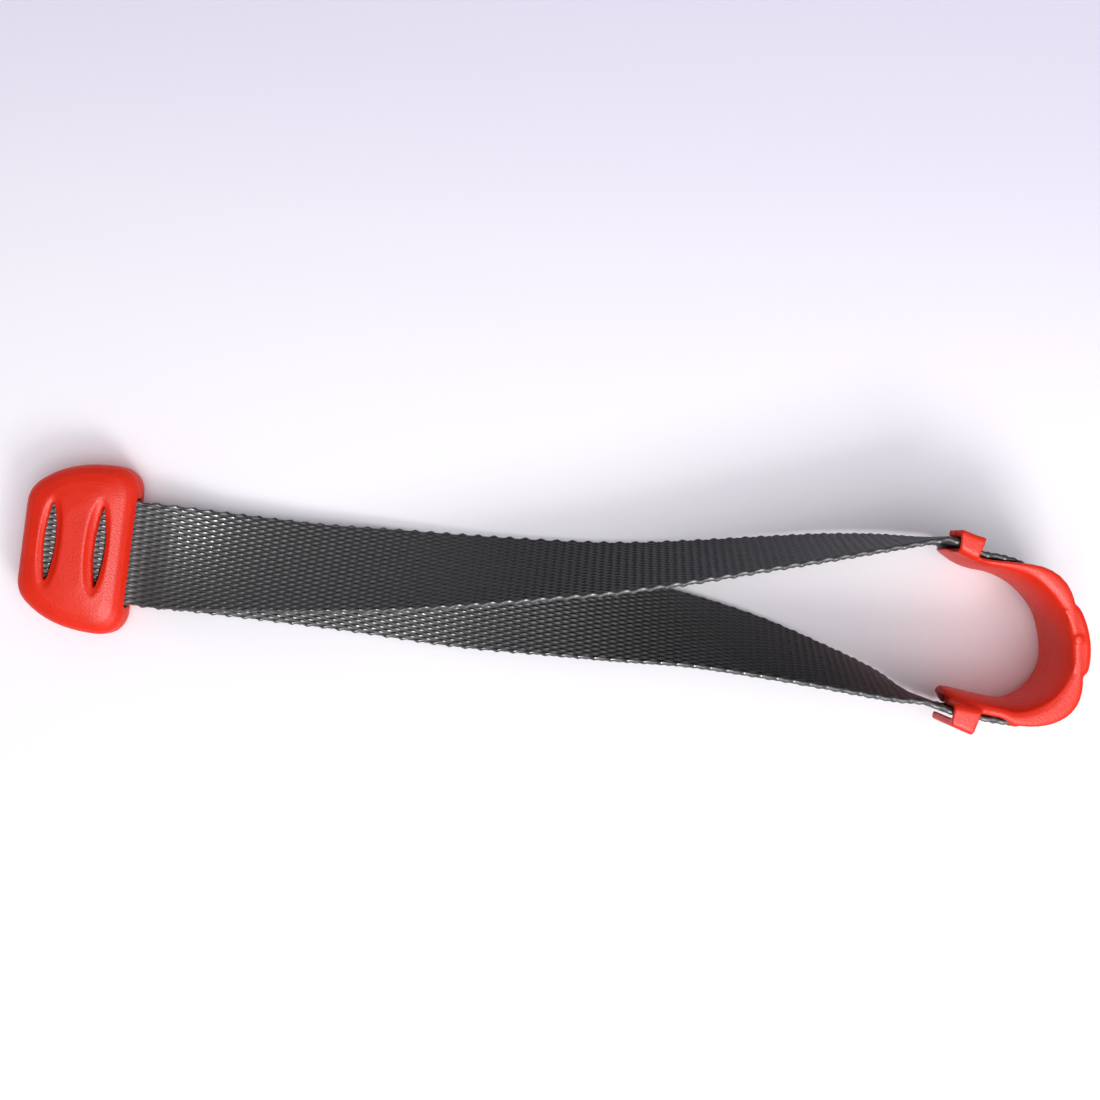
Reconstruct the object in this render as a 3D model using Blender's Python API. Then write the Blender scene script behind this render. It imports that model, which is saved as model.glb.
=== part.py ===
"""Webbing strap anchor: a stop block, a closed webbing loop and a curved cradle.

The origin is the middle of the stop block's flat underside. +X runs along the strap towards the
cradle, +Y is across it and +Z is up. The loop leaves the block as two flat plies, each ply turns
a quarter turn, and the cradle stands on its rim with the webbing round its outside.
Sizes below are in millimetres and are turned into metres when a mesh is made.
"""

import math

import bmesh
import bpy
from mathutils import Matrix, Vector
from mathutils.geometry import interpolate_bezier, intersect_line_line_2d

MM = 0.001
GAP = 0.3

# Webbing
WEB_WIDTH = 25.0
WEB_THICK = 1.3
STEP = 3.0
BIGHT_STEPS = 56

# Stop block
BLOCK_HALF_LENGTH = 13.2
BLOCK_HALF_WIDTH = 20.4
BLOCK_HEIGHT = 12.5
PARTING_Z = 6.2
MOUTH_HALF_WIDTH = WEB_WIDTH / 2 + 0.6
WINDOW_XS = (-5.9, 6.0)
WINDOW_Y = 0.5
WINDOW_LENGTH = 21.0
WINDOW_WIDTH = 2.75
DISH_LENGTH = 31.0
DISH_WIDTH = 7.4
DISH_DEPTH = 1.8

# Pin that the webbing turns round, inside the block
PIN_X = -7.6
PIN_RADIUS = 1.7
PIN_HALF_LENGTH = 15.5
TURN_RADIUS = PIN_RADIUS + GAP + WEB_THICK / 2

# Pegs that line up the two shells
PEG_RADIUS = 1.2
PEG_LENGTH = 2.4
PEG_PLACES = ((-2.5, 15.6), (8.5, 15.6), (-2.5, -15.6), (8.5, -15.6))

# Paths (x, z) inside the block: the lap's inner ply after the pin, and the outer ply to the mouth
LAP_PATH = ((-6.2, 3.6), (-4.0, 3.95), (1.0, 4.9), (5.6, 5.75))
END_PATH = ((-4.4, 2.25), (1.0, 3.3), (7.0, 4.4))
TACK_SHARES = (0.15, 0.45, 0.75)

# Places along X where the webbing's stretches meet
BLOCK_END_X = 12.9
LEG_START_X = 24.0
NECK_START_X = 184.0
BIGHT_START_X = 203.0
FOLD_X = 16.8

# Cradle
CRADLE_HEIGHT = 28.6
TIP_ROUND = 12.0
TIP_TAPER = 3.5
LEAST_RIM = 0.5
BRIDGE_WALL = 1.1
UPPER_HOOK_GAPS = (2.9, 2.9)
LOWER_HOOK_GAPS = (3.4, 2.3)
HOOK_WALL = 1.8
SEAT_CLEARANCE = 0.3
FLARE_SHARE = 0.6
MOST_FLARE = 2.9
RIM_WIDTH = 1.4
TACK_GAP = 0.25
TACK_THICK = 0.25
BRIDGE_ROUND = 0.6
UPPER_HOOK_DROP = 13.6
LOWER_HOOK_DROP = 20.6

# Centre of the webbing along each leg: x, y, z and the twist from flat in degrees
UPPER_LEG = (
    (12.9, 0.0, 7.05, 0.0),
    (16.0, 0.0, 7.25, 0.5),
    (22.0, 0.1, 8.2, 6.0),
    (35.0, 0.6, 8.8, 20.0),
    (54.0, 1.8, 9.8, 31.0),
    (74.0, 3.7, 10.1, 38.0),
    (91.0, 5.7, 10.5, 46.0),
    (113.0, 8.7, 11.3, 56.0),
    (130.0, 11.4, 11.9, 62.0),
    (146.0, 14.9, 12.5, 67.0),
    (162.0, 18.8, 13.1, 72.0),
    (178.0, 22.6, 13.6, 77.0),
    (191.0, 25.4, 14.0, 83.0),
    (203.0, 27.5, 14.3, 90.0),
    (207.0, 27.9, 14.3, 90.0),
)
LOWER_LEG = (
    (12.9, 0.0, 5.35, 0.0),
    (16.0, 0.0, 5.2, 0.0),
    (22.0, 0.0, 3.8, 0.5),
    (40.0, 0.1, 2.2, 5.0),
    (65.0, 0.2, 2.8, 8.0),
    (91.0, -0.4, 4.0, 14.0),
    (114.0, -0.5, 7.0, 29.0),
    (131.0, -0.8, 8.7, 39.0),
    (148.0, -1.2, 10.3, 49.0),
    (165.0, -2.9, 11.6, 58.0),
    (180.0, -5.3, 12.8, 68.0),
    (195.0, -8.2, 13.8, 79.0),
    (203.0, -10.2, 14.3, 90.0),
    (207.0, -11.1, 14.3, 90.0),
)

# Plan curve of the cradle's inner face, from its upper tip round to its lower tip. Each node is a
# point, the heading in degrees, the handles before and after it, and how thick the wall is there.
WAIST_NODES = (
    ((203.9, 25.2), -25.0, 0.0, 3.5, 1.5),
    ((214.0, 21.7), 0.0, 3.8, 9.2, 2.4),
    ((232.6, 4.0), -90.0, 9.2, 6.4, 2.9),
    ((222.0, -7.6), -180.0, 5.2, 4.5, 3.8),
    ((208.3, -6.4), -184.0, 4.5, 0.0, 4.2),
)
# Plan outline of both rims past the hooks: a point, the heading and the handles before and after
RIM_NODES = (
    ((208.0, 25.6), -16.0, 0.0, 5.0),
    ((222.5, 24.3), 0.0, 5.0, 6.5),
    ((233.6, 15.5), -77.0, 5.0, 6.0),
    ((237.4, -3.0), -90.0, 6.0, 6.2),
    ((224.5, -12.8), -180.0, 7.2, 4.0),
    ((208.0, -10.6), -190.0, 5.0, 0.0),
)
# Places on that curve, counted in nodes
BRIDGE_SPAN = (1.63, 2.13)
UPPER_HOOK_SPAN = (0.12, 0.58)
LOWER_HOOK_SPAN = (3.47, 3.93)
BIGHT_SPAN = (0.04, 3.93)
# How far each end of a hook leans along X, per millimetre off the seat
UPPER_HOOK_LEANS = (-0.5, -0.1)
LOWER_HOOK_LEANS = (-0.15, 0.0)


def clear_scene():
    for found in list(bpy.data.objects):
        bpy.data.objects.remove(found, do_unlink=True)


def material(name, colour, roughness, metallic=0.0):
    made = bpy.data.materials.new(name)
    made.use_nodes = True
    shader = made.node_tree.nodes["Principled BSDF"]
    shader.inputs["Base Color"].default_value = (*colour, 1.0)
    shader.inputs["Roughness"].default_value = roughness
    shader.inputs["Metallic"].default_value = metallic
    return made


def place(name, bm, look, pivot=(0.0, 0.0, 0.0), smooth=True):
    """Makes the object from a bmesh in millimetres, with its origin on the pivot."""
    bmesh.ops.remove_doubles(bm, verts=bm.verts, dist=0.0005)
    bmesh.ops.recalc_face_normals(bm, faces=bm.faces)
    bmesh.ops.translate(bm, verts=bm.verts, vec=-Vector(pivot))
    bmesh.ops.scale(bm, verts=bm.verts, vec=(MM, MM, MM))
    mesh = bpy.data.meshes.new(name)
    bm.to_mesh(mesh)
    bm.free()
    if smooth:
        mesh.shade_smooth()
        mesh.set_sharp_from_angle(angle=math.radians(35))
    made = bpy.data.objects.new(name, mesh)
    made.location = Vector(pivot) * MM
    if look:
        mesh.materials.append(look)
    bpy.context.scene.collection.objects.link(made)
    return made


def loft(sections):
    """A closed body through rings of points, capped at both ends."""
    bm = bmesh.new()
    rings = []
    for section in sections:
        ring = [bm.verts.new(point) for point in section]
        edges = [bm.edges.new((ring[i - 1], ring[i])) for i in range(len(ring))]
        rings.append((ring, edges))
    for (_, before), (_, after) in zip(rings, rings[1:]):
        bmesh.ops.bridge_loops(bm, edges=before + after)
    bm.faces.new(rings[0][0])
    bm.faces.new(rings[-1][0])
    return bm


def cutter(name, bm, target, operation="DIFFERENCE"):
    """Cuts the body from the target, or joins it on, with a Boolean that stays live."""
    tool = place(name, bm, None, smooth=False)
    tool.hide_render = True
    tool.display_type = "WIRE"
    boolean = target.modifiers.new(name, "BOOLEAN")
    boolean.operation = operation
    boolean.solver = "EXACT"
    boolean.object = tool
    return tool


def rod(radius, start, end, segments=32):
    bm = bmesh.new()
    start = Vector(start)
    end = Vector(end)
    along = end - start
    bmesh.ops.create_cone(
        bm, cap_ends=True, segments=segments, radius1=radius, radius2=radius, depth=along.length
    )
    turn = Vector((0, 0, 1)).rotation_difference(along).to_matrix()
    bmesh.ops.rotate(bm, verts=bm.verts, cent=(0, 0, 0), matrix=turn)
    bmesh.ops.translate(bm, verts=bm.verts, vec=(start + end) / 2)
    return bm


def bezier_points(nodes, steps):
    """Points of a plan curve through the nodes, the same number of steps between each pair."""
    points = []
    for (start, heading, _, out), (end, next_heading, back, _) in zip(nodes, nodes[1:]):
        knot = Vector((*start, 0.0))
        last = Vector((*end, 0.0))
        handle = knot + Matrix.Rotation(math.radians(heading), 3, "Z") @ Vector((out, 0.0, 0.0))
        turn = Matrix.Rotation(math.radians(next_heading), 3, "Z")
        next_handle = last - turn @ Vector((back, 0.0, 0.0))
        points += interpolate_bezier(knot, handle, next_handle, last, steps + 1)[:-1]
    points.append(Vector((*nodes[-1][0], 0.0)))
    return points


def smoothstep(value):
    value = min(max(value, 0.0), 1.0)
    return value * value * (3.0 - 2.0 * value)


# ---------------------------------------------------------------- stop block


def block_outline(inset, z, steps=14):
    """The block's plan outline, pulled in by the inset: a narrow back, a wide front and bowed
    long sides."""
    back = -BLOCK_HALF_LENGTH
    front = BLOCK_HALF_LENGTH
    half = BLOCK_HALF_WIDTH
    nodes = (
        ((back, -9.0), 90.0, 0.0, 6.0),
        ((back, 9.0), 90.0, 6.0, 3.8),
        ((-8.2, 16.6), 33.0, 3.6, 4.6),
        ((7.0, half), 0.0, 6.4, 3.6),
        ((front, 14.2), -90.0, 4.0, 9.0),
        ((front, -14.2), -90.0, 9.0, 4.0),
        ((7.0, -half), -180.0, 3.6, 6.4),
        ((-8.2, -16.6), 147.0, 4.6, 3.6),
        ((back, -9.0), 90.0, 3.8, 0.0),
    )
    shrink_x = (front - inset) / front
    shrink_y = (half - inset) / half
    ring = bezier_points(nodes, steps)[:-1]
    return [Vector((point.x * shrink_x, point.y * shrink_y, z)) for point in ring]


def shell_levels():
    """Inset and height of the block's outer surface, from the underside up."""
    base = ((3.0, 0.0), (1.6, 0.3), (0.7, 0.95), (0.15, 1.9), (0.0, 2.8), (0.0, PARTING_Z - GAP / 2))
    dome = (
        (0.0, PARTING_Z + GAP / 2),
        (0.05, 7.7),
        (0.3, 8.8),
        (1.0, 9.9),
        (2.3, 10.95),
        (4.4, 11.7),
        (7.2, 12.2),
        (10.4, BLOCK_HEIGHT),
    )
    return base, dome


def pocket_body():
    """The space that the webbing, its turn and its lap take up inside the block."""
    reach = TURN_RADIUS + WEB_THICK / 2 + GAP
    margin = WEB_THICK / 2 + GAP
    profile = []
    around = 9
    for step in range(around + 1):
        angle = math.radians(90 + 160 * step / around)
        profile.append((PIN_X + reach * math.cos(angle), PARTING_Z + reach * math.sin(angle)))
    floor = END_PATH[0][1] - margin
    profile.append((END_PATH[0][0] - 1.2, floor))
    profile.append((END_PATH[0][0] + 0.5, floor))
    far = BLOCK_HALF_LENGTH + 2.0
    profile.append((BLOCK_END_X - 0.5, LOWER_LEG[0][2] - margin))
    profile.append((far, LOWER_LEG[0][2] - margin))
    profile.append((far, UPPER_LEG[0][2] + margin))
    profile.append((BLOCK_END_X - 0.5, UPPER_LEG[0][2] + margin))
    sides = (-MOUTH_HALF_WIDTH, MOUTH_HALF_WIDTH)
    return loft([[Vector((x, y, z)) for x, z in profile] for y in sides])


def window_body(x, y):
    """A lens-shaped hole, pointed at both ends, through the top shell only."""
    half_length = WINDOW_LENGTH / 2
    half_width = WINDOW_WIDTH / 2
    radius = (half_length**2 + half_width**2) / (2 * half_width)
    reach = math.asin(half_length / radius)
    outline = []
    steps = 12
    for side in (1, -1):
        for step in range(steps):
            angle = side * reach * (1 - 2 * step / steps)
            across = side * (radius * math.cos(angle) - (radius - half_width))
            outline.append((x + across, y + radius * math.sin(angle)))
    return loft([[Vector((px, py, z)) for px, py in outline] for z in (PARTING_Z, 14.0)])


def dish_body(x, y):
    """The shallow trough round a window: a long ellipsoid sunk into the crown."""
    bm = bmesh.new()
    bmesh.ops.create_uvsphere(bm, u_segments=32, v_segments=16, radius=1.0)
    size = (DISH_WIDTH / 2, DISH_LENGTH / 2, DISH_DEPTH + 2.0)
    bmesh.ops.scale(bm, verts=bm.verts, vec=size)
    bmesh.ops.translate(bm, verts=bm.verts, vec=(x, y, BLOCK_HEIGHT + 2.0))
    return bm


def make_block():
    base_levels, dome_levels = shell_levels()
    red = (0.72, 0.035, 0.02)
    base = place(
        "block_base_shell",
        loft([block_outline(inset, z) for inset, z in base_levels]),
        material("red base moulding", red, 0.5),
    )
    top = place(
        "block_top_shell",
        loft([block_outline(inset, z) for inset, z in dome_levels]),
        material("red top moulding", red, 0.45),
    )
    cutter("base_pocket", pocket_body(), base)
    cutter("top_pocket", pocket_body(), top)
    seat = PIN_HALF_LENGTH + GAP
    for shell, name in ((base, "base_pin_seat"), (top, "top_pin_seat")):
        ends = ((PIN_X, -seat, PARTING_Z), (PIN_X, seat, PARTING_Z))
        cutter(name, rod(PIN_RADIUS + GAP, *ends, segments=28), shell)
    for number, x in enumerate(WINDOW_XS):
        cutter(f"dish_{number}", dish_body(x, WINDOW_Y), top)
        cutter(f"window_{number}", window_body(x, WINDOW_Y), top)
    joint = PARTING_Z + GAP / 2
    for number, (x, y) in enumerate(PEG_PLACES):
        peg = rod(PEG_RADIUS, (x, y, joint - PEG_LENGTH), (x, y, joint + 1.0), segments=20)
        cutter(f"peg_{number}", peg, top, "UNION")
        hole_foot = (x, y, joint - PEG_LENGTH - GAP)
        hole = rod(PEG_RADIUS + GAP, hole_foot, (x, y, joint + 1.0), segments=20)
        cutter(f"peg_hole_{number}", hole, base)
    steel = material("plated pin steel", (0.62, 0.62, 0.62), 0.3, 1.0)
    ends = ((PIN_X, -PIN_HALF_LENGTH, PARTING_Z), (PIN_X, PIN_HALF_LENGTH, PARTING_Z))
    place("anchor_pin", rod(PIN_RADIUS, *ends, segments=28), steel)


# ---------------------------------------------------------------- webbing


def leg_at(stations, x):
    """Centre and twist of the webbing at x, on a smooth curve through the stations."""
    last = len(stations) - 2
    index = min(max(sum(x > station[0] for station in stations) - 1, 0), last)
    before = stations[max(index - 1, 0)]
    start = stations[index]
    end = stations[index + 1]
    after = stations[min(index + 2, len(stations) - 1)]
    span = end[0] - start[0]
    share = (x - start[0]) / span
    values = []
    for item in (1, 2, 3):
        slope_in = (end[item] - before[item]) / (end[0] - before[0]) * span
        slope_out = (after[item] - start[item]) / (after[0] - start[0]) * span
        square = share * share
        cube = square * share
        value = (2 * cube - 3 * square + 1) * start[item] + (cube - 2 * square + share) * slope_in
        value += (3 * square - 2 * cube) * end[item] + (cube - square) * slope_out
        values.append(value)
    return Vector((x, values[0], values[1])), math.radians(values[2])


def web_section(centre, twist):
    """Corners of the webbing across X: flat at no twist, its -Y edge rising as it twists."""
    across = Vector((0.0, math.cos(twist), -math.sin(twist))) * (WEB_WIDTH / 2)
    normal = Vector((0.0, math.sin(twist), math.cos(twist))) * (WEB_THICK / 2)
    return [
        centre + across + normal,
        centre - across + normal,
        centre - across - normal,
        centre + across - normal,
    ]


def leg_body(stations, start_x, end_x):
    count = max(3, round((end_x - start_x) / STEP))
    places = [start_x + (end_x - start_x) * step / count for step in range(count + 1)]
    return loft([web_section(*leg_at(stations, x)) for x in places])


def flat_web(path):
    """Webbing at full width along a path in the XZ plane, its end faces square to X."""
    points = [Vector((x, 0.0, z)) for x, z in path]
    half_width = Vector((0.0, WEB_WIDTH / 2, 0.0))
    sections = []
    for index, point in enumerate(points):
        before = points[max(index - 1, 0)]
        after = points[min(index + 1, len(points) - 1)]
        along = (after - before).normalized()
        if index in (0, len(points) - 1):
            along = Vector((math.copysign(1.0, along.x), 0.0, 0.0))
        half_thick = Vector((-along.z, 0.0, along.x)) * (WEB_THICK / 2)
        sections.append(
            [
                point + half_width + half_thick,
                point - half_width + half_thick,
                point - half_width - half_thick,
                point + half_width - half_thick,
            ]
        )
    return loft(sections)


def turn_path():
    """In at the top of the mouth, round the pin and back along the bottom to the lap's end."""
    path = [(BLOCK_END_X, UPPER_LEG[0][2]), (8.0, 7.45), (0.0, 8.2)]
    around = 10
    for step in range(around + 1):
        angle = math.radians(90 + 180 * step / around)
        path.append((PIN_X + TURN_RADIUS * math.cos(angle), PARTING_Z + TURN_RADIUS * math.sin(angle)))
    return path + list(LAP_PATH)


def tack_row(x, z, slope):
    """A row of tack stitching across the lap, following the webbing's slope."""
    half_row = WEB_WIDTH / 2 - 2.0
    lift = WEB_THICK / 2 + TACK_GAP
    corners = ((-0.5, lift), (0.5, lift), (0.5, lift + TACK_THICK), (-0.5, lift + TACK_THICK))
    ring = [(x + dx - slope * dz, z + dz + slope * dx) for dx, dz in corners]
    return loft([[Vector((px, y, pz)) for px, pz in ring] for y in (-half_row, half_row)])


def make_tacks():
    thread = material("black tack thread", (0.03, 0.03, 0.035), 0.6)
    start, end = Vector(LAP_PATH[1]), Vector(LAP_PATH[-1])
    slope = (end.y - start.y) / (end.x - start.x)
    for number, share in enumerate(TACK_SHARES):
        x, z = start + (end - start) * share
        place(f"lap_tack_{number + 1}", tack_row(x, z, slope), thread, smooth=False)


# ---------------------------------------------------------------- cradle

CURVE_STEPS = 16


def rim_reach(point, outward, rim, least):
    """How far the rim's outline lies from the point in the outward direction."""
    far = point + outward * 12.0
    reach = least
    for start, end in zip(rim, rim[1:]):
        hit = intersect_line_line_2d(point.xy, far.xy, start.xy, end.xy)
        if hit:
            reach = max(reach, (hit - point.xy).length)
    return reach


def cradle_curves():
    """Stations along the wall: inner point, outward direction, thickness, rim, run from a tip."""
    waist = bezier_points([node[:4] for node in WAIST_NODES], CURVE_STEPS)
    rim = bezier_points(RIM_NODES, CURVE_STEPS)
    run = [0.0]
    for before, after in zip(waist, waist[1:]):
        run.append(run[-1] + (after - before).length)
    stations = []
    for index, point in enumerate(waist):
        before = waist[max(index - 1, 0)]
        after = waist[min(index + 1, len(waist) - 1)]
        along = (after - before).normalized()
        outward = Vector((-along.y, along.x, 0.0))
        node = min(index // CURVE_STEPS, len(WAIST_NODES) - 2)
        share = smoothstep(index / CURVE_STEPS - node)
        thick = WAIST_NODES[node][4] * (1 - share) + WAIST_NODES[node + 1][4] * share
        reach = rim_reach(point, outward, rim, thick + LEAST_RIM)
        stations.append((point, outward, thick, reach, min(run[index], run[-1] - run[index])))
    return stations


def station_at(stations, spot):
    """The station at a place on the curve counted in nodes."""
    steps = spot * CURVE_STEPS
    index = min(int(steps), len(stations) - 2)
    share = steps - index
    point, outward, thick, reach, from_tip = (
        a + (b - a) * share for a, b in zip(stations[index], stations[index + 1])
    )
    return point, outward.normalized(), thick, reach, from_tip


def wall_section(station):
    """The cradle's wall: crowned inside, with round rims and a shallow seat for the webbing."""
    waist, outward, thick, reach, from_tip = station
    half = CRADLE_HEIGHT / 2
    if from_tip < TIP_ROUND:
        back = TIP_ROUND - max(from_tip, 0.25)
        half += math.sqrt(TIP_ROUND**2 - back**2) - TIP_ROUND
    thick *= 0.5 + 0.5 * smoothstep(from_tip / TIP_TAPER)
    depth = thick + (reach - thick) * smoothstep((from_tip - TIP_ROUND + 1.0) / 4.0)
    flare = min(depth * FLARE_SHARE, MOST_FLARE)
    rim = depth - flare
    seat_half = half - RIM_WIDTH
    heights = (0.0, 0.35, 0.6, 0.78, 0.9, 0.97)
    curve = [(flare * (1 - math.sqrt(1 - u * u)), half * u) for u in heights]
    upper = curve + [
        (flare + 0.2 * rim, half),
        (depth - 0.28 * rim, half),
        (depth - 0.08 * rim, half - 0.2),
        (depth, half - 0.6),
        (depth, seat_half + 0.1),
        (thick - 0.001, seat_half - 0.1),
    ]
    lower = [(n, -z) for n, z in reversed(upper[1:])]
    middle = Vector((0.0, 0.0, CRADLE_HEIGHT / 2))
    return [waist + outward * n + middle + Vector((0.0, 0.0, z)) for n, z in upper + lower]


def strap_line(stations, spot):
    """Plan point of the webbing's centre on the cradle."""
    waist, outward, thick, _, _ = station_at(stations, spot)
    return waist + outward * (thick + SEAT_CLEARANCE + WEB_THICK / 2)


def swept_body(stations, span, leans, profile, count):
    """A body swept along the wall. The profile gives (off the seat, height) at a share of the span."""
    sections = []
    for step in range(count + 1):
        share = step / count
        waist, outward, thick, _, _ = station_at(stations, span[0] + (span[1] - span[0]) * share)
        lean = leans[0] + (leans[1] - leans[0]) * share
        ring = []
        for n, z in profile(share):
            shift = Vector((lean * max(n, 0.0), 0.0, CRADLE_HEIGHT / 2 + z))
            ring.append(waist + outward * (thick + n) + shift)
        sections.append(ring)
    return loft(sections)


def bridge_profile(share):
    """A bracket over the webbing: both end walls and the outer wall, with round outer corners."""
    half = CRADLE_HEIGHT / 2 - 0.1
    inner_half = WEB_WIDTH / 2 + GAP
    inner = SEAT_CLEARANCE + WEB_THICK + GAP
    end = abs(2 * share - 1)
    outer = inner + BRIDGE_WALL - BRIDGE_ROUND * smoothstep((end - 0.8) / 0.2)
    root = -0.8
    return [
        (root, half),
        (outer - 1.0, half),
        (outer - 0.3, half - 0.3),
        (outer, half - 1.0),
        (outer, 1.0 - half),
        (outer - 0.3, 0.3 - half),
        (outer - 1.0, -half),
        (root, -half),
        (root, -inner_half),
        (inner, -inner_half),
        (inner, inner_half),
        (root, inner_half),
    ]


def hook_profile(gaps, drop):
    """An open hook over the webbing's raised edge: a root on the wall, a roof and a lip."""

    def profile(share):
        gap = gaps[0] + (gaps[1] - gaps[0]) * share
        half = CRADLE_HEIGHT / 2
        inner_half = WEB_WIDTH / 2 + GAP
        outer = gap + HOOK_WALL
        return [
            (-1.3, half - 1.3),
            (-0.5, half - 0.3),
            (0.2, half),
            (outer - 0.9, half),
            (outer - 0.25, half - 0.25),
            (outer, half - 0.9),
            (outer, half - drop),
            (gap, half - drop),
            (gap, inner_half),
            (-0.02, inner_half),
            (-0.02, 2.0),
            (-1.3, 2.0),
        ]

    return profile


def make_cradle(stations):
    sections = [wall_section(station) for station in stations]
    red = material("red cradle moulding", (0.75, 0.04, 0.02), 0.42)
    cradle = place("cradle", loft(sections), red)
    additions = (
        ("bridge", BRIDGE_SPAN, (0.0, 0.0), bridge_profile, 14),
        ("upper_hook", UPPER_HOOK_SPAN, UPPER_HOOK_LEANS, hook_profile(UPPER_HOOK_GAPS, UPPER_HOOK_DROP), 6),
        ("lower_hook", LOWER_HOOK_SPAN, LOWER_HOOK_LEANS, hook_profile(LOWER_HOOK_GAPS, LOWER_HOOK_DROP), 6),
    )
    for name, span, leans, profile, count in additions:
        cutter(name, swept_body(stations, span, leans, profile, count), cradle, "UNION")


def standing_section(centre, outward):
    """Corners of the webbing where it stands on edge against the cradle."""
    half_thick = outward * (WEB_THICK / 2)
    half_width = Vector((0.0, 0.0, WEB_WIDTH / 2))
    return [
        centre + half_thick - half_width,
        centre + half_thick + half_width,
        centre - half_thick + half_width,
        centre - half_thick - half_width,
    ]


def bight_body(stations):
    """The stretch round the cradle, standing on edge, from the upper leg to the lower one."""
    path = [leg_at(UPPER_LEG, BIGHT_START_X)[0]]
    start, end = BIGHT_SPAN
    for step in range(BIGHT_STEPS + 1):
        path.append(strap_line(stations, start + (end - start) * step / BIGHT_STEPS))
    path.append(leg_at(LOWER_LEG, BIGHT_START_X)[0])
    sections = []
    for index, point in enumerate(path):
        point.z = CRADLE_HEIGHT / 2
        before = path[max(index - 1, 0)]
        after = path[min(index + 1, len(path) - 1)]
        along = (after - before).normalized()
        if index in (0, len(path) - 1):
            along = Vector((math.copysign(1.0, along.x), 0.0, 0.0))
        along.z = 0.0
        sections.append(standing_section(point, Vector((-along.y, along.x, 0.0)).normalized()))
    return loft(sections)


def make_webbing(stations):
    black = (0.018, 0.018, 0.02)

    def web(name, body, pivot=(0.0, 0.0, 0.0)):
        place(name, body, material(f"black webbing {name}", black, 0.8), pivot, smooth=False)

    web("strap_turn", flat_web(turn_path()))
    web("strap_end", flat_web((*END_PATH, (BLOCK_END_X, LOWER_LEG[0][2]))))
    for side, leg in (("upper", UPPER_LEG), ("lower", LOWER_LEG)):
        stretches = (
            ("mouth", BLOCK_END_X + GAP, LEG_START_X - GAP),
            ("leg", LEG_START_X, NECK_START_X - GAP),
            ("neck", NECK_START_X, BIGHT_START_X - GAP),
        )
        for stretch, start_x, end_x in stretches:
            web(f"strap_{stretch}_{side}", leg_body(leg, start_x, end_x), (FOLD_X, 0.0, PARTING_Z))
    web("strap_bight", bight_body(stations))


clear_scene()
make_block()
wall_stations = cradle_curves()
make_cradle(wall_stations)
make_webbing(wall_stations)
make_tacks()
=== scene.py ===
"""Looks of a webbing strap anchor: a woven loop, a stop block and a curved cradle."""

import math

import bmesh
import bpy
import numpy as np
from bpy.props import FloatProperty, FloatVectorProperty, IntProperty, PointerProperty
from mathutils import Matrix, Vector, noise
from mathutils.geometry import interpolate_bezier


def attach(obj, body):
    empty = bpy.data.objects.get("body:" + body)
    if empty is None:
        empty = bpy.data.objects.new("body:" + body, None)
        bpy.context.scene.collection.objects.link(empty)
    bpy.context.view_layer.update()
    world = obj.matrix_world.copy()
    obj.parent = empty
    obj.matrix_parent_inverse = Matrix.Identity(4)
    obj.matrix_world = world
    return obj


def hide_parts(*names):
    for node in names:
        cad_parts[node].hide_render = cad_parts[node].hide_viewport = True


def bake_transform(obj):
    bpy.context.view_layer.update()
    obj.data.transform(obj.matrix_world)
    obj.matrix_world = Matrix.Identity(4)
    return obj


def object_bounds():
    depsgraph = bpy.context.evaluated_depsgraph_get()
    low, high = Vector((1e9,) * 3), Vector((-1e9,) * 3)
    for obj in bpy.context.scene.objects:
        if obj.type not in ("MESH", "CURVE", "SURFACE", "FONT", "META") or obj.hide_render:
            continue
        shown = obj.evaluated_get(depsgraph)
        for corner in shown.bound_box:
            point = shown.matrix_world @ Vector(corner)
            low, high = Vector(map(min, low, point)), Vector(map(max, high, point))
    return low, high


bl_info = {
    "name": "Webbing Strap Anchor",
    "version": (1, 0, 0),
    "blender": (4, 5, 0),
    "location": "View3D > Sidebar > Strap Anchor",
    "description": "Builds the woven loop, the stop block, the cradle and a plain stage",
    "category": "Add Mesh",
}

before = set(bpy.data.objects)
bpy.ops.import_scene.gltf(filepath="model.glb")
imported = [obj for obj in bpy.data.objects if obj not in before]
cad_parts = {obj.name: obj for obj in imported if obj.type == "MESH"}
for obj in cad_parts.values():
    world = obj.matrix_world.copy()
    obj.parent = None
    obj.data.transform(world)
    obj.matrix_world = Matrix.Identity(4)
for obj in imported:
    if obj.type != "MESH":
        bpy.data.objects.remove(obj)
cad_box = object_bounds()

MM = 0.001
# Points closer than this, in metres, are joined into one.
MERGE_DISTANCE = 0.000002

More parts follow.
